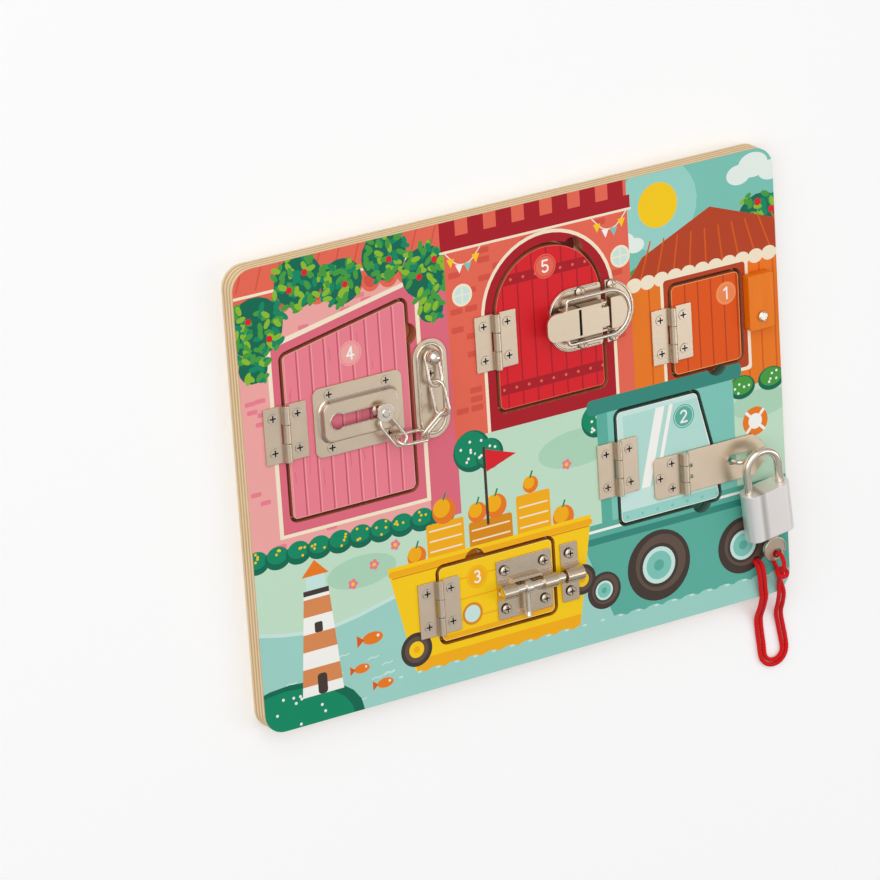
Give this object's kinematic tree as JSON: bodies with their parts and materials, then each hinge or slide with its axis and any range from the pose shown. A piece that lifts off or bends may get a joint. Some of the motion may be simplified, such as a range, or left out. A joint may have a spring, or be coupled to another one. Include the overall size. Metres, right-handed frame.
{
  "type": "wooden busy board",
  "caption": "Flat printed wooden board with hinged doors, each shut by a different lock: turn latch, hasp and padlock, barrel bolt, door chain and toggle latch.",
  "frame": {"origin": "middle of the board's underside; the board lies on its back", "axes": "+X to the right of the picture, +Y to the picture's top, +Z out of the printed face"},
  "size_m": [0.3486, 0.3149, 0.0296],
  "materials": {
    "plywood": "bare light plywood with a satin back",
    "printed_wood": "plywood with a bright printed face under satin varnish",
    "orange_wood": "solid wood painted orange, satin",
    "nickel": "warm nickel-plated pressed steel",
    "bright_steel": "polished plated steel",
    "aluminium": "brushed and polished aluminium",
    "brass": "plain brass",
    "cord": "red braided cord"
  },
  "bodies": {
    "board": {"back_panel": "plywood", "front_panel": "printed_wood", "hinge_1_frame_leaf": "nickel", "hinge_2_frame_leaf": "nickel", "hinge_3_frame_leaf": "nickel", "hinge_4_frame_leaf": "nickel", "hinge_5_frame_leaf": "nickel", "hinge_1_pin": "nickel", "hinge_2_pin": "nickel", "hinge_3_pin": "nickel", "hinge_4_pin": "nickel", "hinge_5_pin": "nickel", "hinge_frame_screws": "nickel", "lock_frame_screws": "nickel", "turn_latch_screw": "bright_steel", "hasp_staple": "nickel", "bolt_keeper": "nickel", "chain_anchor_plate": "nickel", "chain_anchor_stud": "bright_steel", "chain_links": "bright_steel", "toggle_strike": "nickel", "key_cord": "cord", "key_cord_knot": "cord"},
    "door_1": {"door_1": "printed_wood", "hinge_1_door_leaf": "nickel", "door_1_screws": "nickel"},
    "door_2": {"door_2": "printed_wood", "hinge_2_door_leaf": "nickel", "door_2_screws": "nickel", "hasp_leaf": "nickel", "hasp_pin": "nickel"},
    "door_3": {"door_3": "printed_wood", "hinge_3_door_leaf": "nickel", "door_3_screws": "nickel", "bolt_plate": "nickel"},
    "door_4": {"door_4": "printed_wood", "hinge_4_door_leaf": "nickel", "door_4_screws": "nickel", "chain_plate": "nickel"},
    "door_5": {"door_5": "printed_wood", "hinge_5_door_leaf": "nickel", "door_5_screws": "nickel", "toggle_base": "nickel", "toggle_pin": "nickel"},
    "turn_latch": {"turn_latch": "orange_wood"},
    "hasp_strap": {"hasp_strap": "nickel"},
    "padlock": {"padlock_body": "aluminium"},
    "padlock_shackle": {"padlock_shackle": "bright_steel"},
    "key": {"key": "nickel", "padlock_plug": "brass"},
    "bolt_rod": {"bolt_rod": "bright_steel"},
    "bolt_handle": {"bolt_handle": "bright_steel"},
    "chain_runner": {"chain_runner": "bright_steel"},
    "toggle_lever": {"toggle_lever": "nickel"},
    "toggle_bail": {"toggle_bail": "bright_steel"}
  },
  "joints": [
    {"name": "door_1_swing", "type": "hinge", "parent": "board", "child": "door_1", "pos_m": [0.1004, 0.0373, 0.0142], "axis": [0, -1, 0], "range_deg": [0, 150]},
    {"name": "door_2_swing", "type": "hinge", "parent": "board", "child": "door_2", "pos_m": [0.0605, -0.0324, 0.0142], "axis": [0, -1, 0], "range_deg": [0, 150], "deforming": ["key_cord", "key_cord_knot"]},
    {"name": "door_3_swing", "type": "hinge", "parent": "board", "child": "door_3", "pos_m": [-0.0595, -0.0854, 0.0142], "axis": [0, -1, 0], "range_deg": [0, 150]},
    {"name": "door_4_swing", "type": "hinge", "parent": "board", "child": "door_4", "pos_m": [-0.1471, 0.0371, 0.0142], "axis": [0, -1, 0], "range_deg": [0, 58], "deforming": ["chain_links"]},
    {"name": "door_5_swing", "type": "hinge", "parent": "board", "child": "door_5", "pos_m": [-0.0133, 0.059, 0.0142], "axis": [0, -1, 0], "range_deg": [0, 120]},
    {"name": "turn_latch_turn", "type": "hinge", "parent": "board", "child": "turn_latch", "pos_m": [0.1576, 0.0366, 0.015], "axis": [0, 0, 1], "range_deg": [0, 180]},
    {"name": "strap_swing", "type": "hinge", "parent": "door_2", "child": "hasp_strap", "pos_m": [0.1035, -0.0454, 0.0146], "axis": [0, 1, 0], "range_deg": [-120, 0]},
    {"name": "padlock_swing", "type": "hinge", "parent": "hasp_strap", "child": "padlock", "pos_m": [0.14885, -0.05053, 0.02403], "axis": [0, -0.108, 0.9942], "range_deg": [-8, 8]},
    {"name": "shackle_lift", "type": "slide", "parent": "padlock", "child": "padlock_shackle", "axis": [-0.1444, 0.9837, 0.1069], "range_m": [0, 0.008]},
    {"name": "key_turn", "type": "hinge", "parent": "padlock", "child": "key", "pos_m": [0.15668, -0.09149, 0.01958], "axis": [0.1444, -0.9837, -0.1069], "range_deg": [0, 40]},
    {"name": "bolt_slide", "type": "slide", "parent": "door_3", "child": "bolt_rod", "axis": [1, 0, 0], "range_m": [-0.0059, 0.0074]},
    {"name": "bolt_turn", "type": "hinge", "parent": "bolt_rod", "child": "bolt_handle", "pos_m": [-0.0053, -0.0854, 0.0169], "axis": [-1, 0, 0], "range_deg": [0, 110]},
    {"name": "runner_slide", "type": "slide", "parent": "door_4", "child": "chain_runner", "axis": [1, 0, 0], "range_m": [-0.0269, 0]},
    {"name": "lever_swing", "type": "hinge", "parent": "door_5", "child": "toggle_lever", "pos_m": [0.053, 0.0604, 0.0175], "axis": [0, 1, 0], "range_deg": [0, 120]},
    {"name": "bail_swing", "type": "hinge", "parent": "toggle_lever", "child": "toggle_bail", "pos_m": [0.0305, 0.0604, 0.0165], "axis": [0, 1, 0], "range_deg": [-120, 0]}
  ],
  "couplings": [
    {"joint": "bail_swing", "follows": "lever_swing", "ratio": -1}
  ]
}
